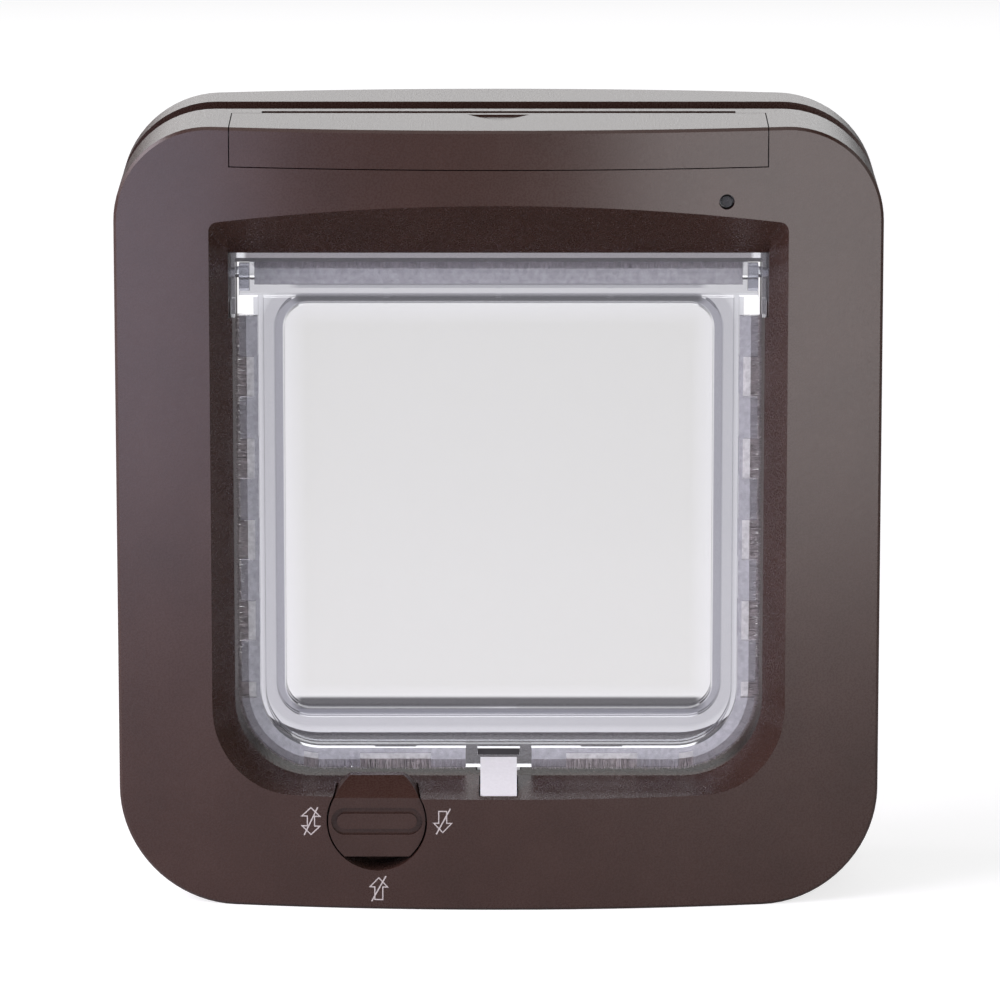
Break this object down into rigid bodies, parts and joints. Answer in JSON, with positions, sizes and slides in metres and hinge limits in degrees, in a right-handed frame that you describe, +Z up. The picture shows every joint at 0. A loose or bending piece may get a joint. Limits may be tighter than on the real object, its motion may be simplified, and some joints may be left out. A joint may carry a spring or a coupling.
{
  "type": "cat flap",
  "caption": "Door-mounted cat flap: bowed square frame, clear swinging flap in a through-door tunnel, outdoor frame, battery cover, turn knob and latches.",
  "frame": {"origin": "middle of the base, between the flat lower edges of the indoor housing and the outdoor frame", "axes": "+Z up, -Y towards the indoor viewer, +Y outdoors through the door, +X to the viewer's right"},
  "size_m": [0.21, 0.074, 0.218],
  "materials": {
    "brown_moulding": "satin moulded",
    "battery_cover": "satin moulded",
    "lock_knob": "satin moulded",
    "screw_cap": "satin moulded",
    "clear_plastic": "clear moulded",
    "clear_clip": "clear moulded",
    "pile": "short grey pile",
    "white_plastic": "white moulded",
    "black_plastic": "black moulded",
    "magnet": "dark coated",
    "steel": "zinc plated",
    "spring_metal": "nickel plated",
    "brass": "cut",
    "copper_winding": "enamelled winding",
    "circuit_board": "solder mask",
    "battery_case": "plain sleeve",
    "light_pipe": "clear moulded",
    "diode": "moulded"
  },
  "bodies": {
    "housing": {"front_housing": "brown_moulding", "rear_housing": "brown_moulding", "exterior_frame": "brown_moulding", "hinge_carrier": "clear_plastic", "floor_magnet": "magnet", "lock_chassis": "black_plastic", "lock_motor": "steel", "battery_contact_left": "spring_metal", "battery_contact_right": "spring_metal", "control_board": "circuit_board", "status_diode": "diode", "light_pipe": "light_pipe", "learn_switch": "black_plastic", "antenna_coil": "copper_winding", "clamp_screws": "steel", "closing_screws": "steel", "screw_caps": "screw_cap", "aa_cell_1": "battery_case", "aa_cell_2": "battery_case", "aa_cell_3": "battery_case", "aa_cell_4": "battery_case"},
    "flap": {"flap": "clear_plastic", "pivot_clip_left": "clear_clip", "pivot_clip_right": "clear_clip", "pile_seal_left": "pile", "pile_seal_right": "pile", "top_brush": "pile", "flap_magnet": "magnet"},
    "battery_cover": {"battery_cover": "battery_cover"},
    "lock_knob": {"lock_knob": "lock_knob", "knob_cam": "black_plastic"},
    "inner_latch": {"inner_latch": "white_plastic"},
    "motor_pinion": {"motor_pinion": "brass"},
    "outer_latch": {"outer_latch": "white_plastic"},
    "learn_button": {"learn_button": "black_plastic"}
  },
  "joints": [
    {"name": "flap_hinge", "type": "hinge", "parent": "housing", "child": "flap", "pos_m": [0, -0.014, 0.1752], "axis": [1, 0, 0], "range_deg": [0, 85]},
    {"name": "cover_slide", "type": "slide", "parent": "housing", "child": "battery_cover", "axis": [0, -1, 0], "range_m": [0, 0.045]},
    {"name": "knob_turn", "type": "hinge", "parent": "housing", "child": "lock_knob", "pos_m": [-0.0336, -0.03, 0.025], "axis": [0, 1, 0], "range_deg": [-90, 180]},
    {"name": "inner_latch_drop", "type": "slide", "parent": "housing", "child": "inner_latch", "axis": [0, 0, -1], "range_m": [0, 0.0075]},
    {"name": "motor_pinion_turn", "type": "hinge", "parent": "housing", "child": "motor_pinion", "pos_m": [0.012, -0.03, 0.0162], "axis": [0, 1, 0], "range_deg": [-90, 0]},
    {"name": "outer_latch_rise", "type": "slide", "parent": "housing", "child": "outer_latch", "axis": [0, 0, 1], "range_m": [0, 0.007]},
    {"name": "learn_button_press", "type": "slide", "parent": "housing", "child": "learn_button", "axis": [0, 0, -1], "range_m": [0, 0.0008], "stiffness_N_per_m": 800}
  ],
  "couplings": [
    {"joint": "motor_pinion_turn", "follows": "inner_latch_drop", "rad_per_m": -208.33}
  ]
}
